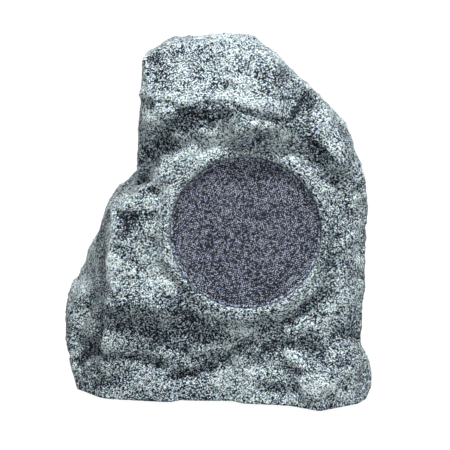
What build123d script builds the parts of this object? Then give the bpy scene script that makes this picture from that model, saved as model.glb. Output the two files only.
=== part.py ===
"""Rock shaped garden speaker: a hollow moulded boulder with a coaxial driver behind a round grille.

Millimetres. X is right, Y is back and Z is up, from the middle of the base on the floor.
"""
from build123d import *
from math import cos, radians, sin, sqrt
import os

# Moulded rock shell
wall = 5.0
foot_standing = 3.0
flange_thickness = 14.0
shell_bottom = foot_standing
flange_top = shell_bottom + flange_thickness

# Driver axis: it leans back, and heights are measured along it from the driver's seat
driver_x = 36.0
driver_y = -79.0
driver_z = 191.0
driver_lean = 11.0

# Baffle, recess and raised rim round the grille
baffle_depth = 14.0
baffle_radius = 92.0
front_face = 14.0
rim_height = 26.0
rim_top_radius = 91.0
rim_foot_radius = 108.0
rim_flare = 3.0
grille_seat = 8.0

# Grille: a pan of perforated sheet with a turned down skirt
grille_radius = 84.0
grille_skirt = 8.0
grille_sheet = 1.2
grille_corner = 3.0
grille_hole = 9.0
grille_pitch = 13.0
grille_border = 8.0
grille_fit = 0.15

# Driver basket, pressed from one sheet
basket_radius = 78.0
basket_opening = 65.5
basket_sheet = 1.5
basket_waist_radius = 63.0
basket_waist_depth = 12.0
spider_step_radius = 46.0
spider_step_inner = 38.0
spider_step_depth = 26.0
basket_base_radius = 36.5
basket_base_depth = 42.0
basket_windows = 6
window_angle = 40.0
window_margin = 3.0
driver_gasket_thickness = 2.0
driver_fit = 0.5
cutout_gap = 1.0
terminal_tongue = 14.0
terminal_strip_width = 20.0
terminal_strip_sheet = 1.5
terminal_tab_height = 8.0
terminal_tab_width = 4.8
terminal_tab_sheet = 0.8

# Motor
pole_radius = 12.0
former_inner = 12.6
former_wall = 0.3
winding_wall = 0.6
winding_length = 10.0
coil_gap = 0.6
top_plate_radius = 35.0
top_plate_thickness = 5.0
magnet_radius = 38.0
magnet_inner = 22.0
magnet_thickness = 13.0
back_plate_thickness = 5.0
glue_gap = 0.05
running_gap = 0.3

# Cone, surround and spider
cone_edge_radius = 56.0
cone_lip = 4.5
cone_neck_depth = 22.0
cone_sheet = 0.8
cone_bow = 1.6
former_stand = 1.0
roll_radius = 5.0
roll_folds = 6
surround_sheet = 0.6
surround_land = 4.5
spider_waves = 3
spider_wave_height = 1.4
spider_land = 4.0
spider_sheet = 0.5

# Tweeter on its post
post_radius = 5.0
shank_radius = 3.0
shank_length = 12.0
cup_radius = 15.0
cup_height = 13.5
cup_wall = 1.5
cup_floor_height = -5.0
dome_seat_height = 4.0
dome_seat_width = 1.5
tweeter_magnet_radius = 10.0
tweeter_magnet_height = 5.0
dome_radius = 9.5
dome_rise = 3.2
dome_sheet = 0.4
dome_folds = 4
guard_thickness = 1.5
guard_bar = 2.4
guard_opening = 11.5

# Screws
driver_screw_circle = 74.0
driver_screw_start = 45.0
driver_screw_count = 4
driver_screw_shank = 3.5
driver_screw_length = 16.0
base_screw_shank = 3.0
base_screw_length = 12.0
board_screw_shank = 3.0
board_screw_length = 8.0
foot_screw_shank = 3.5
foot_screw_length = 12.0
pan_share = 0.75
pan_taper = 0.6
socket_share = 0.45
thread_fit = 0.05
clearance_fit = 0.35
head_fit = 0.1

# Base plate and its gasket
plate_length = 200.0
plate_width = 120.0
plate_corner = 30.0
plate_thickness = 4.0
plate_fit = 0.5
plate_x = 8.0
plate_y = 8.0
seat_width = 10.0
base_gasket_thickness = 1.5
rib_height = 3.0
rib_width = 2.5
base_pilot_cover = 1.5

# Rubber feet
foot_radius = 11.0
foot_taper = 1.5
foot_pocket = 3.0
foot_head_cover = 0.6
foot_fit = 0.25
foot_span_x = 228.0
foot_span_y = 156.0

# Crossover board and what stands on it
board_length = 100.0
board_width = 64.0
board_thickness = 1.6
board_post_height = 8.0
board_post_radius = 4.0
board_hole_inset = 6.0
coil_x = -26.0
bobbin_radius = 16.0
bobbin_core = 7.0
bobbin_height = 20.0
bobbin_flange = 1.5
winding_fit = 0.1
capacitor_radius = 8.0
capacitor_height = 24.0
capacitor_gap = 1.5
resistor_x = 20.0
resistor_length = 38.0
resistor_side = 10.0
resistor_chamfer = 1.2
terminal_pitch = 8.0
terminal_ways = 4
terminal_height = 11.0
terminal_depth = 10.0
terminal_step = 4.0
terminal_step_height = 5.5
terminal_hole_radius = 2.2
terminal_hole_depth = 5.5

# Cable gland through the rear wall
gland_x = -48.0
gland_z = 46.0
gland_thread = 8.0
gland_flats = 20.0
gland_hex = 6.0
gland_neck = 8.0
gland_bore = 5.0
gland_washer_thickness = 1.5
gland_washer_rim = 3.5
locknut_thickness = 5.0
gland_cap_radius = 11.0
gland_cap_height = 12.0
gland_cap_chamfer = 2.0
cable_radius = 3.2
gland_fit = 0.08

# Wadding on the rear wall
wadding_length = 116.0
wadding_height = 80.0
wadding_thickness = 18.0
wadding_gap = 0.3
wadding_z = 112.0
wadding_edge = 5.0

# Every lump of the rock is a block cut to flat facets. A facet is (facing, rise, reach): the compass
# angle that it faces, 0 to the front and 90 to the right, its tilt upwards, and its distance from the
# lump's middle. Together they give the boulder its brow, shoulder, ledge, lobe and toe.
rear_face = 130.0
rear_lean_gap = 11.0
rear_corner_gap = 10.0
rear_left_gap = 6.0
body_middle = (0, 5, 140)
rear_reach = rear_face - body_middle[1]
lean_sine = sin(radians(driver_lean))
lean_cosine = cos(radians(driver_lean))
front_reach = (front_face - (driver_y - body_middle[1]) * lean_cosine
               + (driver_z - body_middle[2]) * lean_sine)
lumps = {
    "body": (body_middle, [
        (0, driver_lean, front_reach), (-2, -4, 119), (50, 6, 183), (90, 1, 174), (84, 26, 201),
        (132, 12, rear_reach + rear_corner_gap), (180, 0, rear_reach),
        (180, 16, rear_reach + rear_lean_gap), (-130, 24, 155), (-132, 14, rear_reach + rear_left_gap), (-90, 2, 178.6), (-84, -36, 204), (-88, 21, 144), (-84, 47, 136), (-56, 12, 149),
        (-50, 44, 156), (0, 90, 190)]),
    "crown": ((10, -5, 320), [
        (-8, 36, 81), (-4, -27, 76), (40, 22, 105), (-56, 6, 109), (-90, -4, 91), (-90, 56, 105),
        (-24, 86, 88), (90, 48, 88), (88, 38, 101), (86, 18, 131), (180, 38, 80), (176, 14, 100),
        (134, 14, 95), (-136, 16, 112), (0, -90, 80)]),
    "shoulder": ((128, -35, 260), [
        (24, 30, 59), (-56, -43, 9), (66, 26, 43), (88, 8, 39), (26, -10, 69), (84, 46, 56), (150, 30, 54),
        (52, 8, 51), (-80, 30, 59), (170, -6, 64), (0, -90, 110)]),
    "ledge": ((-70, -70, 118), [
        (-8, 36, 42), (-12, -30, 46), (-60, 8, 56), (36, 20, 51), (0, 76, 29), (20, -24, 52), (-90, 30, 48),
        (180, 0, 50), (0, -90, 52)]),
    "lobe": ((-95, -45, 12), [
        (-8, 44, 61), (-10, 10, 63), (-46, 12, 60), (-84, -14, 65), (-60, 50, 63), (34, 20, 76), (0, 80, 50),
        (-88, 30, 80), (180, 0, 55)]),
    "toe": ((106.4, -61.1, 15), [
        (-4, 48, 71), (-30, 10, 68), (2, 14, 85), (30, 8, 80), (58, 10, 78), (88, 2, 74), (62, 42, 77),
        (-66, 24, 85), (0, 84, 58), (-34, 46, 78), (140, 10, 78), (180, 4, 70)]),
}
hollow_lumps = ["body", "crown", "toe"]
block_size = 900.0

# Places worked out from the sizes above
driver = Plane(origin=(driver_x, driver_y, driver_z), x_dir=(1, 0, 0), z_dir=(0, -lean_cosine, lean_sine))
driver_axis = Axis(driver.origin, driver.z_dir)
profile = Plane(origin=driver.origin, x_dir=driver.x_dir, z_dir=-driver.y_dir)
flange_front = driver_gasket_thickness + basket_sheet
grille_front = grille_seat + grille_skirt
recess_radius = grille_radius + grille_fit
pocket_radius = basket_radius + driver_fit
cutout_radius = basket_opening + basket_sheet + cutout_gap
plate_top = shell_bottom + plate_thickness
gasket_top = plate_top + base_gasket_thickness
board_bottom = plate_top + board_post_height
board_top = board_bottom + board_thickness
winding_inner = former_inner + former_wall + glue_gap
winding_outer = winding_inner + winding_wall
gap_bore = winding_outer + coil_gap
top_plate_front = -basket_base_depth
top_plate_back = top_plate_front - top_plate_thickness
magnet_back = top_plate_back - magnet_thickness
yoke_back = magnet_back - back_plate_thickness
winding_middle = (top_plate_front + top_plate_back) / 2
cone_edge_height = flange_front - running_gap
cup_top = cup_floor_height + cup_height

under = Plane(origin=(plate_x, plate_y, shell_bottom), x_dir=(1, 0, 0), z_dir=(0, 0, -1))
board_place = Plane(origin=(plate_x, plate_y, board_top))
gland = Plane(origin=(gland_x, rear_face, gland_z), x_dir=(-1, 0, 0), z_dir=(0, 1, 0))
screw_edge_x = (plate_length - seat_width) / 2
screw_edge_y = (plate_width - seat_width) / 2
screw_span = screw_edge_x - plate_corner
base_screw_places = [(x, y) for x in (-screw_span, 0, screw_span) for y in (-screw_edge_y, screw_edge_y)]
base_screw_places += [(-screw_edge_x, 0), (screw_edge_x, 0)]
foot_places = [(x, y) for x in (-foot_span_x / 2, foot_span_x / 2) for y in (-foot_span_y / 2, foot_span_y / 2)]
board_hole_x = board_length / 2 - board_hole_inset
board_hole_y = board_width / 2 - board_hole_inset
board_screw_places = [(x, y) for x in (-board_hole_x, board_hole_x) for y in (-board_hole_y, board_hole_y)]
foot_head_seat = foot_head_cover + foot_screw_shank * pan_share


def chiselled(lump, inset, bottom):
    """One lump as a solid, with its facets moved in by the inset and its underside cut level."""
    middle, facets = lumps[lump]
    with BuildPart(Plane(origin=middle)) as block:
        Box(block_size, block_size, block_size)
        for facing, rise, reach in facets:
            level = cos(radians(rise))
            outward = Vector(sin(radians(facing)) * level, -cos(radians(facing)) * level, sin(radians(rise)))
            facet = Plane(origin=Vector(*middle) + outward * (reach - inset), z_dir=outward)
            split(bisect_by=facet, keep=Keep.BOTTOM)
        split(bisect_by=Plane.XY.offset(bottom), keep=Keep.TOP)
    return block.part


def outline(*points):
    """A closed outline of (radius, height) points, in the plane that holds the driver's axis."""
    with BuildSketch(profile) as sketch:
        with BuildLine():
            Polyline(*points, close=True)
        make_face()
    return sketch.sketch


def sheet_outline(thickness, *points):
    """The outline of a pressed sheet with one face along the points and its thickness to their left."""
    with BuildSketch(profile) as sketch:
        with BuildLine():
            offset(Polyline(*points), amount=thickness, side=Side.LEFT, kind=Kind.INTERSECTION)
        make_face()
    return sketch.sketch


def washer(place, outer, inner, thickness):
    """A flat ring that stands on its place."""
    with BuildPart(place) as one:
        Cylinder(outer, thickness, align=(Align.CENTER, Align.CENTER, Align.MIN))
        Cylinder(inner, thickness, align=(Align.CENTER, Align.CENTER, Align.MIN), mode=Mode.SUBTRACT)
    return one.part


def screw(place, shank, length, pan=True):
    """A hexagon socket screw. A pan head stands on its place, a countersunk one lies flush with it."""
    head_radius = shank
    head_height = shank * pan_share if pan else head_radius - shank / 2
    head_top = head_height if pan else 0
    socket = shank * socket_share
    with BuildPart(place) as one:
        Cylinder(shank / 2, length, align=(Align.CENTER, Align.CENTER, Align.MAX))
        if pan:
            Cone(head_radius, head_radius * pan_taper, head_height, align=(Align.CENTER, Align.CENTER, Align.MIN))
        else:
            Cone(shank / 2, head_radius, head_height, align=(Align.CENTER, Align.CENTER, Align.MAX))
        with BuildSketch(place.offset(head_top)):
            RegularPolygon(socket, 6)
        extrude(amount=-socket, mode=Mode.SUBTRACT)
    return one.part


# Rock shell: the lumps joined, hollowed over a floor flange, then the baffle, its rim and the holes
with BuildPart() as rock_shell:
    for name in lumps:
        add(chiselled(name, 0, shell_bottom))
    for name in hollow_lumps:
        add(chiselled(name, wall, flange_top), mode=Mode.SUBTRACT)
    rim = outline((cutout_radius, -baffle_depth), (baffle_radius, -baffle_depth),
                  (baffle_radius, front_face - wall), (rim_foot_radius, front_face - wall),
                  (rim_top_radius, rim_height), (cutout_radius, rim_height))
    revolve(rim, axis=driver_axis)
    well = outline((0, -baffle_depth), (cutout_radius, -baffle_depth), (cutout_radius, 0), (pocket_radius, 0),
                   (pocket_radius, grille_seat), (recess_radius, grille_seat),
                   (recess_radius, rim_height - rim_flare), (recess_radius + 2 * rim_flare, rim_height + rim_flare),
                   (0, rim_height + rim_flare))
    revolve(well, axis=driver_axis, mode=Mode.SUBTRACT)
    with BuildSketch(driver):
        with PolarLocations(driver_screw_circle, driver_screw_count, driver_screw_start):
            Circle(driver_screw_shank / 2 + thread_fit)
    extrude(amount=-baffle_depth, mode=Mode.SUBTRACT)
    with BuildSketch(under):
        RectangleRounded(plate_length + 2 * plate_fit, plate_width + 2 * plate_fit, plate_corner + plate_fit)
    extrude(amount=shell_bottom - gasket_top, mode=Mode.SUBTRACT)
    with BuildSketch(under):
        RectangleRounded(plate_length - 2 * seat_width, plate_width - 2 * seat_width, plate_corner - seat_width)
        with Locations(*base_screw_places):
            Circle(base_screw_shank / 2 + thread_fit)
    extrude(amount=shell_bottom - flange_top, mode=Mode.SUBTRACT)
    with BuildSketch(under):
        with Locations(*foot_places):
            Circle(foot_radius + foot_fit)
    extrude(amount=-foot_pocket, mode=Mode.SUBTRACT)
    with BuildSketch(under):
        with Locations(*foot_places):
            Circle(foot_screw_shank / 2 + thread_fit)
    extrude(amount=shell_bottom - flange_top + base_pilot_cover, mode=Mode.SUBTRACT)
    with BuildSketch(gland):
        Circle(gland_thread + clearance_fit)
    extrude(amount=-wall, mode=Mode.SUBTRACT)

# Grille: a pressed pan with hexagonal holes in rows
with BuildPart() as grille:
    pan = sheet_outline(grille_sheet, (grille_radius, grille_seat), (grille_radius, grille_front - grille_corner),
                        (grille_radius - grille_corner, grille_front), (0, grille_front))
    revolve(pan, axis=driver_axis)
    row_pitch = grille_pitch * cos(radians(30))
    hole_limit = grille_radius - grille_border - grille_hole / 2
    row_limit = int(hole_limit / row_pitch)
    with BuildSketch(driver.offset(grille_front)):
        for row in range(-row_limit, row_limit + 1):
            for column in range(-row_limit - 1, row_limit + 2):
                x = (column + row % 2 / 2) * grille_pitch
                y = row * row_pitch
                if x * x + y * y <= hole_limit * hole_limit:
                    with Locations((x, y)):
                        RegularPolygon(grille_hole / 2, 6, major_radius=False, rotation=30)
    extrude(amount=-grille_skirt, mode=Mode.SUBTRACT)

# Driver gasket, with a hole for each screw
with BuildPart() as driver_gasket:
    add(washer(driver, basket_radius, cutout_radius, driver_gasket_thickness))
    with BuildSketch(driver):
        with PolarLocations(driver_screw_circle, driver_screw_count, driver_screw_start):
            Circle(driver_screw_shank / 2 + clearance_fit)
    extrude(amount=driver_gasket_thickness, mode=Mode.SUBTRACT)

# Basket: one pressed sheet with a flange, six windows, the spider's step and a tongue for the terminals
with BuildPart() as driver_basket:
    dish = sheet_outline(basket_sheet, (basket_radius, flange_front), (basket_opening, flange_front),
                         (basket_waist_radius, -basket_waist_depth), (spider_step_radius, -spider_step_depth),
                         (spider_step_inner, -spider_step_depth),
                         (basket_base_radius, basket_sheet - basket_base_depth),
                         (gap_bore + cutout_gap, basket_sheet - basket_base_depth))
    revolve(dish, axis=driver_axis)
    window_inner = spider_step_radius + window_margin
    window_front = -basket_waist_depth - window_margin
    window = revolve(outline((window_inner, -basket_base_depth), (basket_radius, -basket_base_depth),
                             (basket_radius, window_front), (window_inner, window_front)),
                     axis=driver_axis, revolution_arc=window_angle, mode=Mode.PRIVATE)
    window_step = 360 / basket_windows
    for index in range(basket_windows):
        turn = 90 + (window_step - window_angle) / 2 + index * window_step
        add(window.rotate(driver_axis, turn), mode=Mode.SUBTRACT)
    with BuildSketch(driver.offset(-spider_step_depth - basket_sheet)):
        with Locations((0, -spider_step_radius)):
            Rectangle(terminal_tongue, terminal_tongue, align=(Align.CENTER, Align.MAX))
    extrude(amount=basket_sheet)
    with BuildSketch(driver.offset(flange_front)):
        with PolarLocations(driver_screw_circle, driver_screw_count, driver_screw_start):
            Circle(driver_screw_shank / 2 + clearance_fit)
    extrude(amount=-basket_sheet, mode=Mode.SUBTRACT)

# Terminal strip on the back of the basket's tongue, with two blade tabs
tongue_back = driver.offset(-spider_step_depth - basket_sheet)
with BuildPart() as driver_terminals:
    with BuildSketch(tongue_back):
        with Locations((0, -spider_step_radius - terminal_tongue / 2)):
            Rectangle(terminal_strip_width, terminal_tongue)
    extrude(amount=-terminal_strip_sheet)
    with BuildSketch(tongue_back.offset(-terminal_strip_sheet)):
        with Locations((0, -spider_step_radius - terminal_tongue / 2)):
            with GridLocations(terminal_strip_width / 2, 0, 2, 1):
                Rectangle(terminal_tab_width, terminal_tab_sheet)
    extrude(amount=-terminal_tab_height)

# Surround: a half roll between the land on the flange and the land on the cone
roll_middle = cone_edge_radius + roll_radius
surround_top = flange_front + surround_sheet
with BuildPart() as surround:
    roll = [(roll_middle + roll_radius + surround_land, surround_top)]
    for index in range(roll_folds + 1):
        angle = radians(180 * index / roll_folds)
        roll.append((roll_middle + roll_radius * cos(angle), surround_top + roll_radius * sin(angle)))
    roll.append((cone_edge_radius - surround_land, surround_top))
    revolve(sheet_outline(surround_sheet, *roll), axis=driver_axis)

# Cone: a bowed paper cone with a flat lip under the surround
cone_neck_radius = former_inner + former_wall + glue_gap
cone_mid_radius = (cone_neck_radius + cone_edge_radius - cone_lip) / 2
cone_mid_height = (cone_edge_height - cone_neck_depth) / 2 - cone_bow
with BuildPart() as cone:
    skin = sheet_outline(cone_sheet, (cone_edge_radius, cone_edge_height),
                         (cone_edge_radius - cone_lip, cone_edge_height), (cone_mid_radius, cone_mid_height),
                         (cone_neck_radius, -cone_neck_depth))
    revolve(skin, axis=driver_axis)

# Voice coil: the former is glued in the cone's neck and carries the winding in the magnet's gap
with BuildPart() as coil_former:
    former_back = winding_middle - winding_length / 2 - former_stand
    former_front = former_stand - cone_neck_depth
    revolve(outline((former_inner, former_back), (former_inner + former_wall, former_back),
                    (former_inner + former_wall, former_front), (former_inner, former_front)), axis=driver_axis)

with BuildPart() as coil_winding:
    winding_back = winding_middle - winding_length / 2
    winding_front = winding_middle + winding_length / 2
    revolve(outline((winding_inner, winding_back), (winding_outer, winding_back),
                    (winding_outer, winding_front), (winding_inner, winding_front)), axis=driver_axis)

# Spider: a corrugated ring from the basket's step to the former
with BuildPart() as spider:
    spider_inner = former_inner + former_wall + running_gap
    wave_start = spider_step_inner - spider_land
    wave_pitch = (wave_start - spider_inner - spider_land) / (2 * spider_waves)
    folds = [(spider_step_radius - running_gap, -spider_step_depth + spider_sheet),
             (wave_start, -spider_step_depth + spider_sheet)]
    for index in range(1, 2 * spider_waves):
        lift = spider_wave_height if index % 2 else 0
        folds.append((wave_start - index * wave_pitch, -spider_step_depth + spider_sheet + lift))
    folds += [(spider_inner + spider_land, -spider_step_depth + spider_sheet),
              (spider_inner, -spider_step_depth + spider_sheet)]
    revolve(sheet_outline(spider_sheet, *folds), axis=driver_axis)

# Magnet system: top plate, ferrite ring, and a back plate with its pole
with BuildPart() as top_plate:
    add(washer(driver.offset(top_plate_back), top_plate_radius, gap_bore, top_plate_thickness))

with BuildPart() as magnet:
    add(washer(driver.offset(magnet_back), magnet_radius, magnet_inner, magnet_thickness))

with BuildPart() as back_plate:
    bore = shank_radius + thread_fit
    revolve(outline((bore, yoke_back), (top_plate_radius, yoke_back), (top_plate_radius, magnet_back),
                    (pole_radius, magnet_back), (pole_radius, top_plate_front), (bore, top_plate_front)),
            axis=driver_axis)

# Tweeter: a post from the pole, a cup, its magnet, the dome and a guard with two bars
with BuildPart() as tweeter_post:
    revolve(outline((0, top_plate_front - shank_length), (shank_radius, top_plate_front - shank_length),
                    (shank_radius, top_plate_front), (post_radius, top_plate_front),
                    (post_radius, cup_floor_height), (0, cup_floor_height)), axis=driver_axis)

with BuildPart() as tweeter_cup:
    cup_inner = cup_radius - cup_wall
    revolve(outline((0, cup_floor_height), (cup_radius, cup_floor_height), (cup_radius, cup_top),
                    (cup_inner, cup_top), (cup_inner, dome_seat_height),
                    (cup_inner - dome_seat_width, dome_seat_height),
                    (cup_inner - dome_seat_width, cup_floor_height + cup_wall),
                    (0, cup_floor_height + cup_wall)), axis=driver_axis)

with BuildPart() as tweeter_magnet:
    with BuildSketch(driver.offset(cup_floor_height + cup_wall)):
        Circle(tweeter_magnet_radius)
    extrude(amount=tweeter_magnet_height)

with BuildPart() as tweeter_dome:
    dome_sphere = (dome_radius ** 2 + dome_rise ** 2) / (2 * dome_rise)
    dome_seat = dome_seat_height + dome_sheet
    cap = [(cup_inner - running_gap, dome_seat)]
    for index in range(dome_folds):
        reach = dome_radius * (1 - index / dome_folds)
        cap.append((reach, dome_seat + dome_rise - dome_sphere + sqrt(dome_sphere ** 2 - reach ** 2)))
    cap.append((0, cap[-1][1]))
    revolve(sheet_outline(dome_sheet, *cap), axis=driver_axis)

with BuildPart() as tweeter_guard:
    with BuildSketch(driver.offset(cup_top)):
        Circle(cup_radius)
        Circle(guard_opening, mode=Mode.SUBTRACT)
        Rectangle(2 * guard_opening + cup_wall, guard_bar)
        Rectangle(guard_bar, 2 * guard_opening + cup_wall)
    extrude(amount=guard_thickness)

with BuildPart() as driver_screws:
    for place in PolarLocations(driver_screw_circle, driver_screw_count, driver_screw_start):
        seat = Plane(driver.offset(flange_front).location * place)
        add(screw(seat, driver_screw_shank, driver_screw_length))

# Base: gasket, service plate with ribs and board posts, its screws, and four rubber feet
with BuildPart() as base_gasket:
    with BuildSketch(Plane(origin=(plate_x, plate_y, plate_top))):
        RectangleRounded(plate_length, plate_width, plate_corner)
        RectangleRounded(plate_length - 2 * seat_width, plate_width - 2 * seat_width,
                         plate_corner - seat_width, mode=Mode.SUBTRACT)
        with Locations(*base_screw_places):
            Circle(base_screw_shank / 2 + clearance_fit, mode=Mode.SUBTRACT)
    extrude(amount=base_gasket_thickness)

with BuildPart(under) as base_plate:
    with BuildSketch(under):
        RectangleRounded(plate_length, plate_width, plate_corner)
    extrude(amount=-plate_thickness)
    with BuildSketch(under.offset(-plate_thickness)):
        Rectangle(plate_length - 4 * seat_width, rib_width)
        with GridLocations(2 * board_hole_x, 0, 2, 1):
            Rectangle(rib_width, plate_width - 4 * seat_width)
    extrude(amount=-rib_height)
    with BuildSketch(under.offset(-plate_thickness)):
        with Locations(*board_screw_places):
            Circle(board_post_radius)
    extrude(amount=-board_post_height)
    with BuildSketch(under.offset(-plate_thickness - board_post_height)):
        with Locations(*board_screw_places):
            Circle(board_screw_shank / 2 + thread_fit)
    extrude(amount=board_screw_length, mode=Mode.SUBTRACT)
    with Locations(*[(x, y, 0) for x, y in base_screw_places]):
        CounterSinkHole(base_screw_shank / 2 + clearance_fit, base_screw_shank + head_fit,
                        counter_sink_angle=90)

with BuildPart() as base_screws:
    for x, y in base_screw_places:
        seat = Plane(under.location * Location((x, y, 0)))
        add(screw(seat, base_screw_shank, base_screw_length, pan=False))

feet = []
for index, (x, y) in enumerate(foot_places, start=1):
    sole = Plane(under.location * Location((x, y, foot_standing)))
    with BuildPart(sole) as foot:
        Cone(foot_radius, foot_radius - foot_taper, foot_standing + foot_pocket,
             align=(Align.CENTER, Align.CENTER, Align.MAX))
        CounterBoreHole(foot_screw_shank / 2 + clearance_fit, foot_screw_shank + clearance_fit, foot_head_seat)
    foot.part.label = f"foot_{index}"
    feet.append(foot.part)

with BuildPart() as foot_screws:
    for x, y in foot_places:
        seat = Plane(under.location * Location((x, y, foot_standing - foot_head_seat)))
        add(screw(seat, foot_screw_shank, foot_screw_length))

# Crossover: a board on the base plate's posts, with a coil, two capacitors, a resistor and terminals
with BuildPart() as crossover_board:
    with BuildSketch(Plane(origin=(plate_x, plate_y, board_bottom))):
        RectangleRounded(board_length, board_width, board_screw_shank)
        with Locations(*board_screw_places):
            Circle(board_screw_shank / 2 + clearance_fit, mode=Mode.SUBTRACT)
    extrude(amount=board_thickness)

with BuildPart() as board_screws:
    for x, y in board_screw_places:
        add(screw(Plane(board_place.location * Location((x, y, 0))), board_screw_shank, board_screw_length))

coil_place = Plane(board_place.location * Location((coil_x, 0, 0)))
with BuildPart(coil_place) as inductor_bobbin:
    standing = (Align.CENTER, Align.CENTER, Align.MIN)
    Cylinder(bobbin_radius, bobbin_height, align=standing)
    with Locations((0, 0, bobbin_flange)):
        Cylinder(bobbin_radius, bobbin_height - 2 * bobbin_flange, align=standing, mode=Mode.SUBTRACT)
        Cylinder(bobbin_core, bobbin_height - 2 * bobbin_flange, align=standing)
    Cylinder(bobbin_core / 2, bobbin_height, align=standing, mode=Mode.SUBTRACT)

with BuildPart() as inductor_winding:
    winding_place = coil_place.offset(bobbin_flange + winding_fit)
    add(washer(winding_place, bobbin_radius - bobbin_flange, bobbin_core + winding_fit,
               bobbin_height - 2 * (bobbin_flange + winding_fit)))

capacitors = []
for index, side in enumerate((-1, 1), start=1):
    stand = Plane(board_place.location * Location((0, side * (capacitor_radius + 2 * capacitor_gap), 0)))
    with BuildPart(stand) as capacitor:
        Cylinder(capacitor_radius, capacitor_height, align=(Align.CENTER, Align.CENTER, Align.MIN))
        chamfer(capacitor.edges().sort_by(Axis.Z)[-1], capacitor_gap)
    capacitor.part.label = f"capacitor_{index}"
    capacitors.append(capacitor.part)

with BuildPart(Plane(board_place.location * Location((resistor_x, 0, 0)))) as resistor:
    Box(resistor_side, resistor_length, resistor_side, align=(Align.CENTER, Align.CENTER, Align.MIN))
    chamfer(resistor.edges().filter_by(Axis.Y), resistor_chamfer)

terminal_x = resistor_x + resistor_side / 2 + terminal_depth
with BuildPart(Plane(board_place.location * Location((terminal_x, 0, 0)))) as terminal_block:
    Box(terminal_depth, terminal_pitch * terminal_ways, terminal_height,
        align=(Align.CENTER, Align.CENTER, Align.MIN))
    with Locations((terminal_depth / 2, 0, terminal_height)):
        Box(terminal_step, terminal_pitch * terminal_ways, terminal_step_height,
            align=(Align.MAX, Align.CENTER, Align.MAX), mode=Mode.SUBTRACT)
    with Locations((-terminal_step / 2, 0, terminal_height)):
        with GridLocations(0, terminal_pitch, 1, terminal_ways):
            Hole(terminal_hole_radius, terminal_hole_depth)

# Cable gland through the rear wall: washer, body, locknut, seal and cap
neck_front = gland_washer_thickness + gland_hex + gland_neck
with BuildPart() as gland_washer:
    add(washer(gland, gland_thread + gland_washer_rim, gland_thread + clearance_fit, gland_washer_thickness))

with BuildPart(gland) as gland_body:
    with BuildSketch(gland.offset(gland_washer_thickness)):
        RegularPolygon(gland_flats / 2, 6, major_radius=False)
    extrude(amount=gland_hex)
    with Locations((0, 0, neck_front)):
        Cylinder(gland_thread, neck_front + wall + locknut_thickness + gland_washer_thickness,
                 align=(Align.CENTER, Align.CENTER, Align.MAX))
        Cylinder(gland_bore, neck_front + wall + locknut_thickness + gland_washer_thickness,
                 align=(Align.CENTER, Align.CENTER, Align.MAX), mode=Mode.SUBTRACT)

with BuildPart() as gland_locknut:
    with BuildSketch(gland.offset(-wall)):
        RegularPolygon(gland_flats / 2, 6, major_radius=False)
        Circle(gland_thread + gland_fit, mode=Mode.SUBTRACT)
    extrude(amount=-locknut_thickness)

with BuildPart() as gland_seal:
    add(washer(gland.offset(neck_front - gland_neck), gland_bore - gland_fit, cable_radius, gland_neck))

with BuildPart() as gland_cap:
    cap_base = gland.offset(gland_washer_thickness + gland_hex + running_gap)
    add(washer(cap_base, gland_cap_radius, gland_thread + gland_fit, gland_cap_height))
    cap_roof = gland_neck - running_gap
    add(washer(cap_base.offset(cap_roof), gland_cap_radius, cable_radius + running_gap,
               gland_cap_height - cap_roof))
    chamfer(gland_cap.edges().filter_by(GeomType.CIRCLE).sort_by(Axis.Y)[-1], gland_cap_chamfer)

# Wadding pad on the rear wall, inside
with BuildPart(Plane(origin=(0, rear_face - wall - wadding_gap - wadding_thickness / 2, wadding_z))) as wadding:
    Box(wadding_length, wadding_thickness, wadding_height)
    fillet(wadding.edges().filter_by(Axis.Y), wadding_edge)

pieces = {
    "rock_shell": rock_shell, "grille": grille, "driver_gasket": driver_gasket, "driver_basket": driver_basket,
    "driver_terminals": driver_terminals, "driver_screws": driver_screws, "surround": surround, "cone": cone,
    "coil_former": coil_former, "coil_winding": coil_winding, "spider": spider, "top_plate": top_plate,
    "magnet": magnet, "back_plate": back_plate, "tweeter_post": tweeter_post, "tweeter_cup": tweeter_cup,
    "tweeter_magnet": tweeter_magnet, "tweeter_dome": tweeter_dome, "tweeter_guard": tweeter_guard,
    "base_gasket": base_gasket, "base_plate": base_plate, "base_screws": base_screws,
    "foot_screws": foot_screws, "crossover_board": crossover_board, "board_screws": board_screws,
    "inductor_bobbin": inductor_bobbin, "inductor_winding": inductor_winding, "resistor": resistor,
    "terminal_block": terminal_block, "gland_washer": gland_washer, "gland_body": gland_body,
    "gland_locknut": gland_locknut, "gland_seal": gland_seal, "gland_cap": gland_cap, "wadding": wadding,
}
os.makedirs("parts", exist_ok=True)
for name, builder in pieces.items():
    builder.part.label = name
    export_step(builder.part, f"parts/{name}.step")
for part in feet + capacitors:
    export_step(part, f"parts/{part.label}.step")
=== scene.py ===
"""Dresses the rock shaped garden speaker: its sprayed stone shell, its speckled grille and what they hold.

Metres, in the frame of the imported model: X is right, Y is back and Z is up, from the floor.
"""
import logging
import math
from dataclasses import dataclass, field
from enum import Enum

import bpy
import numpy as np
from mathutils import Matrix, Vector
from mathutils.bvhtree import BVHTree
from mathutils.kdtree import KDTree


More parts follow.
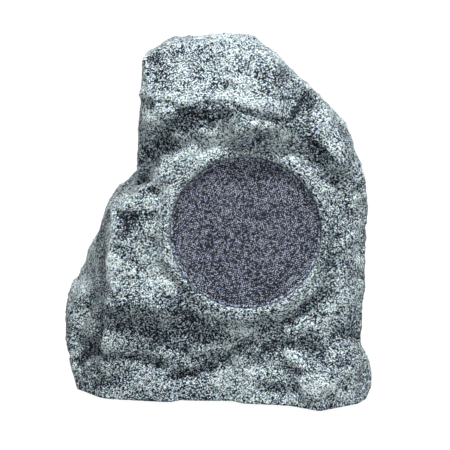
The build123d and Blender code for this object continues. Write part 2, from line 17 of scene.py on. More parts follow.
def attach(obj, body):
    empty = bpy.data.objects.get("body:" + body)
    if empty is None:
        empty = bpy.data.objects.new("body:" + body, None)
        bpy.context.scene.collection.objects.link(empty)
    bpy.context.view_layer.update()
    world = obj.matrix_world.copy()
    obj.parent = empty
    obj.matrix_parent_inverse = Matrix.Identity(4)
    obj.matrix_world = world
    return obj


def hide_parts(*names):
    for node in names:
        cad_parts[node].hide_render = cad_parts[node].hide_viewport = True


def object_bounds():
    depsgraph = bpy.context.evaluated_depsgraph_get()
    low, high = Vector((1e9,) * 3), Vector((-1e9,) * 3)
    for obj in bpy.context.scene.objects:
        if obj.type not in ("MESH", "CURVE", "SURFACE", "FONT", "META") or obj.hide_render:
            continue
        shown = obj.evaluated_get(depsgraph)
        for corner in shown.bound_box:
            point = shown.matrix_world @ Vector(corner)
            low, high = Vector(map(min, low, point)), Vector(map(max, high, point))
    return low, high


Piece, Material = bpy.types.Object, bpy.types.Material
Tree, Node, Socket = bpy.types.NodeTree, bpy.types.Node, bpy.types.NodeSocket
Stops = tuple[tuple[float, str], ...]

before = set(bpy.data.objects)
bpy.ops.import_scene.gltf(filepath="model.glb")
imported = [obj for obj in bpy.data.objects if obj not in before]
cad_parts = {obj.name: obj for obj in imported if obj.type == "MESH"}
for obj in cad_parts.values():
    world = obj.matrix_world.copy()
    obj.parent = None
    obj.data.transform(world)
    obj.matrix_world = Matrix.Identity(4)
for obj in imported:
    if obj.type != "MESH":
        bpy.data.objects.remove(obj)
cad_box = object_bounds()
log = logging.getLogger("garden_speaker")

MM = 0.001
FAR = 1e9
TINY = 1e-6
SLOWEST = 1e-9
CABINET = "cabinet"
DRIVER_LEAN = math.radians(11.0)
DRIVER_PLACE = Vector((36.0, -79.0, 191.0)) * MM
DRIVER_FACING = Vector((0.0, -math.cos(DRIVER_LEAN), math.sin(DRIVER_LEAN)))
UP = Vector((0.0, 0.0, 1.0))
WHITE = (1.0, 1.0, 1.0, 1.0)
HEX_FLAT = math.cos(math.pi / 6)
GLAND_PLACE = Vector((-48.0, 130.0, 46.0)) * MM


def linear(colour: str) -> tuple[float, float, float, float]:
    """Turns an sRGB hex colour to the linear values that a shader takes.

    Args:
        colour: six hex digits, such as "9aa4a8".
    Returns:
        Red, green, blue and an alpha of 1.
    """
    channels = [int(colour[i:i + 2], 16) / 255 for i in (0, 2, 4)]
    # the sRGB standard's own curve: a straight toe, then a power of 2.4
    return (*(c / 12.92 if c <= 0.04045 else ((c + 0.055) / 1.055) ** 2.4 for c in channels), 1.0)


def per_metre(size_mm: float) -> float:
    """Gives the scale at which one cell of a pattern is the given size in millimetres."""
    return 1.0 / (size_mm * MM)


def add_node(tree: Tree, kind: str, settings: dict | None = None, **links) -> Node:
    """Adds one node with its settings, and sets or links its inputs.

    Args:
        tree: the node tree that gets the node.
        kind: the node's type name after ShaderNode, such as "TexNoise".
        settings: the node's own properties by name.
        links: input values or output sockets, by the input's name with _ for a space, or i and its index.
    Returns:
        The new node.
    """
    node = tree.nodes.new("ShaderNode" + kind)
    for name, value in (settings or {}).items():
        setattr(node, name, value)
    for name, value in links.items():
        key = int(name[1:]) if name[0] == "i" and name[1:].isdigit() else name.replace("_", " ")
        socket = node.inputs[key]
        if isinstance(value, Socket):
            tree.links.new(value, socket)
        else:
            socket.default_value = value
    return node


def add_ramp(tree: Tree, factor: Socket, stops: Stops) -> Socket:
    """Adds a colour ramp.

    Args:
        tree: the node tree that gets the ramp.
        factor: the socket that drives it.
        stops: (position, sRGB hex colour) pairs in order.
    Returns:
        The ramp's colour socket.
    """
    ramp = add_node(tree, "ValToRGB", Fac=factor)
    elements = ramp.color_ramp.elements
    while len(elements) < len(stops):
        elements.new(0.5)
    for element, (position, colour) in zip(elements, stops):
        element.position = position
        element.color = linear(colour)
    return ramp.outputs["Color"]


def new_material(name: str) -> tuple[Material, Tree, Node]:
    """Makes an empty node material.

    Args:
        name: what the real material is called.
    Returns:
        The material, its node tree and its Principled shader.
    """
    material = bpy.data.materials.new(name)
    material.use_nodes = True
    tree = material.node_tree
    tree.nodes.clear()
    output = add_node(tree, "OutputMaterial")
    shader = add_node(tree, "BsdfPrincipled")
    tree.links.new(shader.outputs["BSDF"], output.inputs["Surface"])
    return material, tree, shader


def add_place(tree: Tree) -> Socket:
    """Adds the coordinates that a pattern keeps with its piece."""
    return add_node(tree, "TexCoord").outputs["Object"]


def add_patches(tree: Tree, place: Socket, size_mm: float, tone: float) -> Socket:
    """Adds broad cloudy patches.

    Args:
        tree: the node tree that gets them.
        place: the coordinates.
        size_mm: the patches' size.
        tone: how far they go below and above nothing.
    Returns:
        Their value.
    """
    cloud = add_node(tree, "TexNoise", Vector=place, Scale=per_metre(size_mm), Detail=2.0)
    spread = add_node(tree, "MapRange", i0=cloud.outputs["Fac"], i1=0.3, i2=0.7, i3=-tone, i4=tone)
    return spread.outputs[0]


def add_bump(tree: Tree, shader: Node, strength: float, height_mm: float, pattern: Socket) -> None:
    """Raises a shader's surface by a pattern.

    Args:
        tree: the node tree.
        shader: the shader.
        strength: the bump's share.
        height_mm: the height of the pattern's full range.
        pattern: the pattern.
    """
    bump = add_node(tree, "Bump", Strength=strength, Distance=height_mm * MM, Height=pattern)
    tree.links.new(bump.outputs["Normal"], shader.inputs["Normal"])


def dress(piece: Piece, material: Material) -> None:
    """Gives a piece one material all over."""
    piece.data.materials.clear()
    piece.data.materials.append(material)


def deselect_all() -> None:
    """Leaves object mode with nothing selected."""
    if bpy.context.object and bpy.context.object.mode != "OBJECT":
        bpy.ops.object.mode_set(mode="OBJECT")
    bpy.ops.object.select_all(action="DESELECT")


def make_active(piece: Piece) -> None:
    """Selects one piece alone and makes it the active one."""
    deselect_all()
    piece.select_set(True)
    bpy.context.view_layer.objects.active = piece


def edit_all() -> None:
    """Opens the active mesh with all of it selected."""
    bpy.ops.object.mode_set(mode="EDIT")
    bpy.ops.mesh.select_all(action="SELECT")


def close_edit() -> None:
    """Goes back to object mode."""
    bpy.ops.object.mode_set(mode="OBJECT")


def apply_modifier(piece: Piece, kind: str, **settings) -> None:
    """Adds a modifier with its settings and applies it.

    Args:
        piece: the piece that is shaped.
        kind: the modifier's type, such as "REMESH".
        settings: the modifier's properties by name.
    """
    make_active(piece)
    modifier = piece.modifiers.new(kind.lower(), kind)
    for name, value in settings.items():
        setattr(modifier, name, value)
    bpy.ops.object.modifier_apply(modifier=modifier.name)


def read_points(piece: Piece, what: str = "co") -> np.ndarray:
    """Reads a mesh's points, or with what as "normal" the normals there, as rows of x, y and z."""
    flat = np.empty(len(piece.data.vertices) * 3)
    piece.data.vertices.foreach_get(what, flat)
    return flat.reshape(-1, 3)


def write_points(piece: Piece, points: np.ndarray) -> None:
    """Writes a mesh's points back from rows of x, y and z."""
    piece.data.vertices.foreach_set("co", points.ravel())
    piece.data.update()


def blend_in(value: np.ndarray, start: float, end: float) -> np.ndarray:
    """Rises smoothly from 0 at start to 1 at end, which may be the lower of the two."""
    t = np.clip((value - start) / (end - start), 0.0, 1.0)
    return t * t * (3.0 - 2.0 * t)


class Form(Enum):
    """What a stroke of the chisel leaves."""

    GROOVE = "groove"
    RIDGE = "ridge"
    STEP = "step"


GROOVE, RIDGE, STEP = Form


@dataclass(frozen=True)
class Stroke:
    """One feature of the stone's face, drawn in the front elevation.

    A groove cuts in and a ridge stands out by its depth. A step raises what lies to the left of its
    path, in the order of its points, and lowers what lies to the right.
    """

    name: str
    form: Form
    path: tuple[tuple[float, float], ...]
    width: float
    depth: float
    step_sharpness: float = 0.3
    step_spread: float = 0.6

    def lift(self, x: np.ndarray, z: np.ndarray) -> np.ndarray:
        """Works out how far the stroke moves each point outwards.

        Args:
            x: the points' places across the front, in millimetres.
            z: the points' heights, in millimetres.
        Returns:
            The lift of each point, in millimetres.
        """
        nearest = np.full(x.shape, FAR)
        side = np.zeros(x.shape)
        for (x0, z0), (x1, z1) in zip(self.path, self.path[1:] or self.path):
            run_x, run_z = x1 - x0, z1 - z0
            length = max(math.hypot(run_x, run_z), TINY)
            along = np.clip(((x - x0) * run_x + (z - z0) * run_z) / length ** 2, 0.0, 1.0)
            away_x, away_z = x - x0 - along * run_x, z - z0 - along * run_z
            distance = np.hypot(away_x, away_z)
            closer = distance < nearest
            nearest = np.where(closer, distance, nearest)
            turn = (run_x * away_z - run_z * away_x) / length
            side = np.where(closer, turn, side)
        reach = np.exp(-(nearest / self.width) ** 2)
        if self.form is GROOVE:
            return -self.depth * reach
        if self.form is RIDGE:
            return self.depth * reach
        steepness = self.width * self.step_sharpness
        fade = np.exp(-(nearest / self.width) ** 2 * self.step_spread)
        return self.depth * np.tanh(side / steepness) * fade


@dataclass(frozen=True)
class Mass:
    """One block of the boulder, cut to flat facets.

    A facet is (facing, rise, reach): the compass angle that it faces in degrees, 0 to the front and 90 to
    the right, its tilt upwards, and its distance from the block's middle in millimetres.
    """

    name: str
    middle: tuple[float, float, float]
    facets: tuple[tuple[float, float, float], ...]

    def exit(self, starts: np.ndarray, looks: np.ndarray) -> np.ndarray:
        """Finds where lines leave the block.

        Args:
            starts: where the lines start, in millimetres.
            looks: their directions, each of length 1.
        Returns:
            How far along each line the block ends, in millimetres, or 0 where the line misses it.
        """
        enter = np.zeros(len(starts))
        leave = np.full(len(starts), FAR)
        for facing, rise, reach in self.facets:
            turn, tilt = math.radians(facing), math.radians(rise)
            level = math.cos(tilt)
            normal = np.array((math.sin(turn) * level, -math.cos(turn) * level, math.sin(tilt)))
            room = reach - (starts - np.array(self.middle)) @ normal
            speed = looks @ normal
            speed = np.where(np.abs(speed) < SLOWEST, SLOWEST, speed)
            crossing = room / speed
            leave = np.where(speed > 0.0, np.minimum(leave, crossing), leave)
            enter = np.where(speed < 0.0, np.maximum(enter, crossing), enter)
        return np.where(enter < leave, leave, 0.0)


@dataclass(frozen=True)
class Weathering:
    """One scale of the stone's broken surface: a procedural texture that moves its points."""

    name: str
    pattern: str
    size: float
    height: float
    middle: float = 0.5
    settings: dict = field(default_factory=dict)


@dataclass(frozen=True)
class GraniteSpray:
    """Polymer resin with a sprayed granite fleck coat: matt grains of black, grey and white, with painted shade
    in its hollows and on faces turned down, and painted light on ridges and faces turned up.
    """

    name: str = "granite_fleck_with_painted_shade"
    grain: float = 1.25
    fine_grain: float = 0.86
    fine_share: float = 0.42
    waver_size: float = 2.2
    waver_reach: float = 1.1
    grain_range: tuple[float, float] = (0.16, 0.84)
    patch_size: float = 46.0
    patch_tone: float = 0.1
    # how far the painted shade and light of hollows, ridges and facing shift the grains darker or lighter
    painted_shading_tone: float = 0.19
    grain_stops: Stops = (
        (0.0, "00010c"), (0.42, "060b24"), (0.49, "2a3e60"), (0.56, "6a8ba6"), (0.62, "b6d3e2"),
        (0.68, "fafeff"))
    hue_stops: Stops = ((0.0, "d3deff"), (0.3, "ffffff"), (0.6, "f0fff8"), (1.0, "e0ffe6"))
    hue_share: float = 0.7
    bare_resin: str = "191a1c"
    roughness: float = 0.86
    specular: float = 0.35
    grit_height: float = 0.35
    grit_strength: float = 0.55

    def build(self) -> Material:
        """Makes the coating."""
        material, tree, shader = new_material(self.name)
        place = add_place(tree)
        waver = add_node(tree, "TexNoise", Vector=place, Scale=per_metre(self.waver_size), Detail=1.0)
        shift = add_node(tree, "VectorMath", {"operation": "MULTIPLY_ADD"},
                         i0=waver.outputs["Color"], i1=(self.waver_reach * MM,) * 3, i2=place).outputs[0]
        coarse, fine = (
            add_node(tree, "SeparateColor", Color=add_node(
                tree, "TexVoronoi", Vector=shift, Scale=per_metre(size)).outputs["Color"])
            for size in (self.grain, self.fine_grain))
        grains = add_node(tree, "Mix", {"data_type": "FLOAT"}, Factor=self.fine_share,
                          A=coarse.outputs["Red"], B=fine.outputs["Red"]).outputs["Result"]
        low, high = self.grain_range
        spread = add_node(tree, "MapRange", i0=grains, i1=low, i2=high).outputs[0]
        # painted shade and light from the shell: darker in hollows and on faces turned down, lighter on ridges
        # and faces turned up; the broad patches are a random tone
        painted_shading = add_node(tree, "Attribute", {"attribute_name": "painted_shading"}).outputs["Fac"]
        tone = add_node(tree, "Math", {"operation": "MULTIPLY_ADD"}, i0=painted_shading, i1=self.painted_shading_tone,
                        i2=add_patches(tree, place, self.patch_size, self.patch_tone)).outputs[0]
        lit = add_node(tree, "Math", {"operation": "ADD"}, i0=spread, i1=tone).outputs[0]
        stone = add_ramp(tree, lit, self.grain_stops)
        hue = add_ramp(tree, coarse.outputs["Green"], self.hue_stops)
        tinted = add_node(tree, "Mix", {"data_type": "RGBA", "blend_type": "MULTIPLY"},
                          i0=self.hue_share, i6=stone, i7=hue).outputs[2]
        bare = add_node(tree, "Attribute", {"attribute_name": "bare"}).outputs["Fac"]
        coat = add_node(tree, "Mix", {"data_type": "RGBA"}, i0=bare, i6=tinted,
                        i7=linear(self.bare_resin)).outputs[2]
        tree.links.new(coat, shader.inputs["Base Color"])
        shader.inputs["Roughness"].default_value = self.roughness
        shader.inputs["Specular IOR Level"].default_value = self.specular
        add_bump(tree, shader, self.grit_strength, self.grit_height, spread)
        return material


@dataclass(frozen=True)
class SpeckledEnamel:
    """Black powder coated steel, lightly sprayed with the same grey and white fleck."""

    name: str = "speckled_powder_coat"
    grain: float = 1.0
    stops: Stops = (
        (0.0, "020512"), (0.5, "0a1028"), (0.6, "4f649a"), (0.69, "c6d8ff"), (0.8, "ecf3ff"))
    patch_size: float = 30.0
    patch_tone: float = 0.08
    roughness: float = 0.6
    grit_height: float = 0.15
    grit_strength: float = 0.4

    def build(self) -> Material:
        """Makes the coating."""
        material, tree, shader = new_material(self.name)
        place = add_place(tree)
        grains = add_node(tree, "TexVoronoi", Vector=place, Scale=per_metre(self.grain))
        value = add_node(tree, "SeparateColor", Color=grains.outputs["Color"])
        mixed = add_node(tree, "Math", {"operation": "ADD"}, i0=value.outputs["Red"],
                         i1=add_patches(tree, place, self.patch_size, self.patch_tone)).outputs[0]
        paint = add_ramp(tree, mixed, self.stops)
        tree.links.new(paint, shader.inputs["Base Color"])
        shader.inputs["Roughness"].default_value = self.roughness
        add_bump(tree, shader, self.grit_strength, self.grit_height, value.outputs["Red"])
        return material


@dataclass(frozen=True)
class Finish:
    """A plain made surface: two close colours in a fine pattern, with its gloss and its grain."""

    name: str
    dark: str
    light: str
    grain: float
    roughness: float
    metallic: float = 0.0
    grain_height: float = 0.05
    grain_strength: float = 0.5
    cloud_scale: float = 14.0
    gloss_spread: float = 0.15
    stretch: tuple[float, float, float] = (1.0, 1.0, 1.0)

    def build(self) -> Material:
        """Makes the finish."""
        material, tree, shader = new_material(self.name)
        place = add_place(tree)
        turned = add_node(tree, "Mapping", Vector=place, Scale=self.stretch).outputs[0]
        grain = add_node(tree, "TexNoise", Vector=turned, Scale=per_metre(self.grain), Detail=4.0,
                         Roughness=0.6).outputs["Fac"]
        cloud = add_node(tree, "TexNoise", Vector=place, Scale=per_metre(self.grain * self.cloud_scale),
                         Detail=2.0).outputs["Fac"]
        mixed = add_node(tree, "Math", {"operation": "ADD"}, i0=grain, i1=cloud).outputs[0]
        spread = add_node(tree, "MapRange", i0=mixed, i1=0.7, i2=1.3).outputs[0]
        paint = add_ramp(tree, spread, ((0.0, self.dark), (1.0, self.light)))
        tree.links.new(paint, shader.inputs["Base Color"])
        gloss = add_node(tree, "MapRange", i0=spread, i3=self.roughness * (1.0 - self.gloss_spread),
                         i4=min(1.0, self.roughness * (1.0 + self.gloss_spread))).outputs[0]
        tree.links.new(gloss, shader.inputs["Roughness"])
        shader.inputs["Metallic"].default_value = self.metallic
        add_bump(tree, shader, self.grain_strength, self.grain_height, grain)
        return material


@dataclass
class RockShell:
    """The moulded boulder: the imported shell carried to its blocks, softened, chiselled, weathered and sprayed.

    Sizes are in millimetres. Slopes are the part of a normal that points up, down or to the front.
    """

    name: str = "granite_shell"
    node: str = "rock_shell"
    mesh_step: float = 2.5
    weld: float = 0.002
    well_radius: float = 84.15
    well_floor: float = 8.0
    well_back: float = -20.0
    well_slack: float = 2.0
    well_grip: float = 0.75
    floor_room: float = 1.5
    flare_start: float = 23.0
    flare_height: float = 3.0
    spray_depth: float = 15.0
    spray_edge: float = 1.0
    rim_clear: float = 87.0
    rim_reach: float = 99.0
    rim_back: float = -14.0
    ring_reach: float = 112.0
    sole_height: float = 2.9
    sole_slope: float = 0.9
    foot_clear: float = 6.0
    foot_reach: float = 22.0
    gland_clear: float = 14.0
    gland_reach: float = 30.0
    gland_wall: float = 100.0
    free_steps: int = 50
    soften_share: float = 0.5
    soften_rounds: int = 6
    face_slope: float = 0.35
    look_off: float = 1.0
    look_turns: tuple[float, float] = (-0.6, 0.6)
    wall_room: float = 12.0
    carry_slack: float = 1.0
    carry_reach: float = 12.0
    upper_middle: float = 300.0
    # painted shade and light: the height of hollow or ridge that is painted fully darker or lighter, how much
    # lighter faces turned up from the given slope are painted, and how much darker faces turned down are painted
    painted_shade_height: float = 4.0
    painted_top_light: float = 0.55
    painted_top_light_level: float = 0.42
    hidden_pull: float = 10.0
    box_margin: float = 5.0
    triangle_limit: int = 196000
    middle: Vector = field(default_factory=lambda: Vector((10.0, 5.0, 180.0)) * MM)
    masses: tuple[Mass, ...] = (
        Mass("body", (0, 5, 140), (
            (0, 11, 106.19), (-2, -4, 119), (50, 6, 183), (90, -2, 171.3), (84, 26, 201),
            (132, 12, 135), (180, 0, 125), (180, 16, 136), (-130, 24, 155), (-132, 14, 131),
            (-90, 2, 170), (-84, -36, 200), (-88, 21, 141), (-84, 56, 133), (-72, 6, 142.5),
            (-50, 44, 154), (0, 90, 190))),
        Mass("crown", (10, -5, 320), (
            (-8, 36, 81), (-4, -27, 76), (40, 22, 105), (-56, 6, 106), (-90, 4, 92.5), (-90, 56, 103),
            (-30, 84, 85), (40, 86, 88), (90, 48, 88), (88, 38, 101), (86, 18, 131), (180, 38, 80),
            (176, 14, 100), (134, 14, 99.5), (-136, 16, 112), (0, -90, 80))),
        Mass("shoulder", (128, -35, 260), (
            (24, 30, 59), (-56, -43, 9), (66, 26, 43), (88, 20, 38), (90, 2, 43), (26, -10, 69),
            (84, 46, 50), (150, 14, 54), (48, 8, 52), (-80, 30, 57), (170, -6, 64), (60, -34, 66),
            (0, -90, 110))),
        Mass("ledge", (-70, -70, 118), (
            (-8, 36, 42), (-12, -30, 46), (-60, 8, 56), (36, 20, 51), (0, 76, 29), (20, -24, 52),
            (-90, 30, 48), (180, 0, 50), (0, -90, 52))),
        Mass("lobe", (-95, -45, 12), (
            (-8, 44, 61), (-10, 10, 62), (-46, 12, 61), (-84, -14, 66), (-60, 50, 63), (34, 20, 80),
            (0, 80, 50), (-88, 30, 78), (180, 0, 55), (-70, -34, 68))),
        Mass("toe", (106.4, -61.1, 15), (
            (-4, 48, 71), (-30, 10, 68), (2, 14, 85), (30, 8, 80), (58, 10, 78), (100, 2, 73.7),
            (92, 30, 73), (92, -35, 60), (62, 42, 77), (-66, 24, 85), (0, 84, 58), (-34, 46, 78),
            (140, 10, 78), (180, 4, 70))),
        Mass("hip", (-118, 12, 62), (
            (-83.4, -1, 60.64), (-83, 16, 61.8), (-80, 50, 65), (-80, -32, 65), (-42, 10, 69),
            (-10, 6, 52), (-130, 10, 80), (-140, 40, 78), (180, 4, 88), (90, 0, 60), (0, -90, 62))),
        Mass("cheek", (-42, -48, 268), (
            (-22, 26, 30), (-62, 12, 29), (-90, 4, 41), (6, 60, 38), (14, -30, 44), (-40, -34, 40),
            (60, 10, 36), (180, 0, 40), (-80, 52, 42))),
        Mass("hood", (64, -78, 316), (
            (6, 20, 21), (10, -42, 19), (-40, 6, 40), (-66, -20, 44), (62, 14, 31), (6, 54, 19),
            (180, 0, 22))),
        Mass("berm", (-14, -74, 14), (
            (-6, 54, 42), (-3, 12, 37), (30, 24, 60), (0, 84, 42), (-50, 20, 74), (20, 56, 54),
            (180, 0, 50), (90, 0, 70), (-90, 0, 90))),
        Mass("instep", (64, -72, 30), (
            (-6, 62, 29), (-8, 16, 47), (-44, 20, 48), (-76, 34, 46), (90, 10, 60), (180, 0, 50))),
        Mass("left_slab", (-104, 52, 150), (
            (-112, 20, 37), (-76, 24, 44), (-150, 16, 50), (-110, 52, 60), (-112, -14, 66), (0, 0, 60),
            (90, 0, 60), (180, 0, 60), (0, -90, 80), (0, 90, 80))),
        Mass("back_slab", (34, 84, 178), (
            (176, 9, 49), (160, 14, 50), (-160, 12, 58), (178, 44, 72), (-176, -20, 66), (116, 10, 70),
            (-112, 10, 74), (0, 0, 60), (90, 0, 90), (-90, 0, 90))))
    weathering: tuple[Weathering, ...] = (
        Weathering("swell", "CLOUDS", 46.0, 4.5, settings={"noise_depth": 1}),
        Weathering("cleavage", "VORONOI", 30.0, -3.5, 0.45, settings={"distance_metric": "DISTANCE"}),
        Weathering("flaking", "MUSGRAVE", 22.0, 2.0, 0.5, settings={"musgrave_type": "RIDGED_MULTIFRACTAL"}),
        Weathering("chipping", "CLOUDS", 11.0, 1.6, settings={"noise_depth": 2}),
        Weathering("pitting", "CLOUDS", 5.0, 0.8, settings={"noise_depth": 1}))
    strokes: tuple[Stroke, ...] = (
        Stroke("brow", STEP, (
            (-78, 342), (-58, 340), (-30, 333), (-8, 339), (18, 340), (37, 333), (60, 324), (79, 322)), 8, 3),
        Stroke("brow_bulge", RIDGE, ((-66, 318), (-46, 322)), 10, 5),
        Stroke("brow_knuckle", RIDGE, ((40, 316), (58, 312)), 8, 3),
        Stroke("upper_crease", GROOVE, ((30, 372), (56, 362), (84, 368)), 8, 2.5),
        Stroke("upper_dimples", GROOVE, ((-8, 352), (14, 356)), 7, 2.5),
        Stroke("under_brow_left", GROOVE, ((-56, 318), (-30, 312)), 8, 3),
        Stroke("under_brow", GROOVE, ((-34, 326), (-12, 321), (12, 323)), 7, 6),
        Stroke("under_brow_fold", RIDGE, ((-44, 300), (-14, 306), (16, 303)), 5, 3),
        Stroke("wedge_notch", GROOVE, ((118, 346), (98, 326)), 8, 10),
        Stroke("right_diagonal", GROOVE, ((86, 322), (104, 303), (122, 282)), 9, 8),
        Stroke("right_knuckle", RIDGE, ((66, 308), (80, 300)), 7, 3),
        Stroke("right_crease", GROOVE, ((134, 252), (150, 226), (152, 196)), 6, 2.5),
        Stroke("left_notch", GROOVE, ((-70, 386), (-62, 350)), 10, 4),
        Stroke("dimple", GROOVE, ((-80, 244), (-64, 238)), 7, 7),
        Stroke("cheek_crease", GROOVE, ((-58, 292), (-44, 282), (-30, 286)), 6, 4),
        Stroke("flank_edge", STEP, ((-116, 218), (-121, 127), (-126, 64)), 8, 2.5),
        Stroke("left_spots", GROOVE, ((-108, 216), (-92, 208), (-98, 190)), 6, 4.5),
        Stroke("left_fold", GROOVE, ((-98, 172), (-82, 150), (-84, 132)), 6, 2.5),
        Stroke("ledge_hollow", GROOVE, ((-116, 92), (-71, 84), (-30, 80), (10, 70)), 12, 5),
        Stroke("ledge_fold", GROOVE, ((-64, 70), (-34, 62), (-10, 74)), 6, 3.5),
        Stroke("lobe_crease", GROOVE, ((-160, 34), (-138, 54), (-83, 52), (-56, 42)), 6, 6.5),
        Stroke("low_crease", GROOVE, ((-52, 28), (-18, 36), (8, 48), (26, 60)), 6, 6),
        Stroke("middle_fold", RIDGE, ((-20, 62), (14, 68), (44, 84)), 7, 3),
        Stroke("nodule", RIDGE, ((104, 27), (126, 29)), 12, 4),
        Stroke("foot_pocket", GROOVE, ((52, 18), (88, 21)), 8, 5),
        Stroke("foot_crease", GROOVE, ((88, 40), (110, 46), (128, 38)), 5, 3),
        Stroke("pit", GROOVE, ((29, 70), (38, 69)), 7, 6),
        Stroke("middle_pocket", GROOVE, ((-14, 84), (6, 78)), 6, 4),
        Stroke("toe_crease", GROOVE, ((60, 62), (84, 70), (120, 62)), 6, 4),
        Stroke("right_notch", GROOVE, ((138, 83), (166, 72)), 7, 6),
        Stroke("lip", RIDGE, ((-56, 138), (-12, 108), (35, 99), (88, 112), (122, 140)), 7, 3),
        Stroke("lip_shadow_left", GROOVE, ((-60, 122), (-8, 90)), 7, 4),
        Stroke("lip_shadow_right", GROOVE, ((82, 96), (128, 124)), 7, 4),
        Stroke("flare", RIDGE, ((-72, 224), (-56, 266), (-18, 290), (35, 299)), 8, 3))
    # what measure() finds for each point, and what the later steps leave there
    start: np.ndarray = field(init=False)
    start_normals: np.ndarray = field(init=False)
    outside: np.ndarray = field(init=False)
    hollow: np.ndarray = field(init=False)
    sole: np.ndarray = field(init=False)
    ring: np.ndarray = field(init=False)
    unsprayed: np.ndarray = field(init=False)
    clear: np.ndarray = field(init=False)
    free: np.ndarray = field(init=False)
    carved: np.ndarray = field(init=False)
    height: np.ndarray = field(init=False)
    smooth_normals: np.ndarray = field(init=False)

    def build(self) -> Piece:
        """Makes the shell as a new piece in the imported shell's place.

        Returns:
            The finished shell.
        """
        piece = self.copy_node()
        self.measure(piece)
        self.reach_masses(piece)
        self.even_mesh(piece)
        self.measure(piece)
        self.mark_free(piece)
        self.true_well(piece)
        self.soften(piece)
        self.chisel(piece)
        self.weather(piece)
        self.carry_inside(piece)
        self.hold_in_box(piece)
        self.paint_shade_and_bare(piece)
        self.thin_inside(piece)
        self.finish(piece)
        return piece

    def copy_node(self) -> Piece:
        """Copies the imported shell, joins its loose triangles and gives it an even mesh."""
        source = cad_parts[self.node]
        piece = bpy.data.objects.new(self.name, source.data.copy())
        bpy.context.scene.collection.objects.link(piece)
        make_active(piece)
        edit_all()
        bpy.ops.mesh.remove_doubles(threshold=self.weld * MM)
        close_edit()
        self.even_mesh(piece)
        return piece

    def even_mesh(self, piece: Piece) -> None:
        """Gives the shell one closed mesh of even steps."""
        apply_modifier(piece, "REMESH", mode="VOXEL", voxel_size=self.mesh_step * MM, adaptivity=0.0)

    def well_place(self, points: np.ndarray) -> tuple[np.ndarray, np.ndarray, np.ndarray]:
        """Measures points from the driver's axis.

        Args:
            points: their places, in metres.
        Returns:
            Their heights along the axis and radii in millimetres, and their spokes from it in metres.
        """
        axis, origin = np.array(DRIVER_FACING), np.array(DRIVER_PLACE)
        along = (points - origin) @ axis
        spoke = (points - origin) - np.outer(along, axis)
        return along / MM, np.linalg.norm(spoke, axis=1) / MM, spoke

    def measure(self, piece: Piece) -> None:
        """Finds the outside of the shell and how freely each of its points may move."""
        points, normals = read_points(piece), read_points(piece, "normal")
        height, radius, _ = self.well_place(points)
        open_air = self.sees_outside(piece, points, normals)
        front = points[:, 1] < 0.0
        in_well = (radius < self.rim_clear + self.well_slack) & (height > self.well_back) & front
        self.sole = (normals[:, 2] < -self.sole_slope) & (points[:, 2] < self.foot_clear * MM)
        self.hollow = ~open_air & ~in_well & ~self.sole
        self.outside = open_air & ~in_well & ~self.sole & (points[:, 2] > self.sole_height * MM)
        deep = (height < self.spray_depth) & (radius < self.well_radius + self.spray_edge)
        self.unsprayed = (in_well & deep) | (~open_air & ~in_well)
        near_rim = (height > self.rim_back) & front
        self.ring = (radius < self.ring_reach) & near_rim
        free = self.outside.astype(float)
        free *= np.where(near_rim, blend_in(radius, self.rim_clear, self.rim_reach), 1.0)
        from_gland = np.hypot(points[:, 0] - GLAND_PLACE.x, points[:, 2] - GLAND_PLACE.z) / MM
        at_back = points[:, 1] > self.gland_wall * MM
        free *= np.where(at_back, blend_in(from_gland, self.gland_clear, self.gland_reach), 1.0)
        self.clear = free
        self.free = free * blend_in(points[:, 2] / MM, self.foot_clear, self.foot_reach)
        self.start = points
        self.start_normals = normals
        log.info("shell mesh: %d points, %d outside", len(points), int(self.outside.sum()))

    def sees_outside(self, piece: Piece, points: np.ndarray, normals: np.ndarray) -> np.ndarray:
        """Tells the boulder's outside from its hollow by looking outwards and up from just above each point.

        Args:
            piece: the shell.
            points: its points.
            normals: their normals.
        Returns:
            True for each point that sees the open air.
        """
        tree = BVHTree.FromObject(piece, bpy.context.evaluated_depsgraph_get())
        starts = points + normals * (self.look_off * MM)
        seen = np.zeros(len(points), dtype=bool)
        for index, start in enumerate(starts):
            level = Vector((start[0] - self.middle.x, start[1] - self.middle.y, 0.0)).normalized()
            looks = [level, UP, level + UP]
            looks += [Matrix.Rotation(turn, 3, "Z") @ level for turn in self.look_turns]
            seen[index] = any(tree.ray_cast(Vector(start), look)[0] is None for look in looks)
        return seen

    def reach_masses(self, piece: Piece) -> None:
        """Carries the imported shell's faces out, or in, to the boulder's blocks, and the wall with them."""
        points = read_points(piece) / MM
        starts = np.tile(np.array(self.middle) / MM, (len(points), 1))
        starts[:, 2] = np.minimum(points[:, 2], self.upper_middle)
        distance = np.linalg.norm(points - starts, axis=1)
        looks = (points - starts) / np.maximum(distance, TINY)[:, None]
        target = np.max([mass.exit(starts, looks) for mass in self.masses], axis=0)
        target = np.where(self.ring, np.maximum(target, distance), target)
        shift = np.where(self.outside, (target - distance) * self.clear, 0.0)
        inner = np.where(self.sole, np.minimum(target - distance, 0.0), 0.0)
        inner = np.where(self.hollow, np.minimum(target - self.wall_room - distance, 0.0), inner)
        shift = np.where(target > 0.0, np.where(self.outside, shift, inner), 0.0)
        log.info("masses %s move the faces by %.1f to %.1f mm", ", ".join(mass.name for mass in self.masses),
                 shift.min(), shift.max())
        write_points(piece, (points + looks * shift[:, None]) * MM)

    def mark_free(self, piece: Piece) -> None:
        """Writes how freely each point may move as a vertex group for the modifiers."""
        group = piece.vertex_groups.new(name="free")
        steps = np.round(self.free * self.free_steps).astype(int)
        for step in range(1, self.free_steps + 1):
            members = np.nonzero(steps == step)[0].tolist()
            if members:
                group.add(members, step / self.free_steps, "REPLACE")

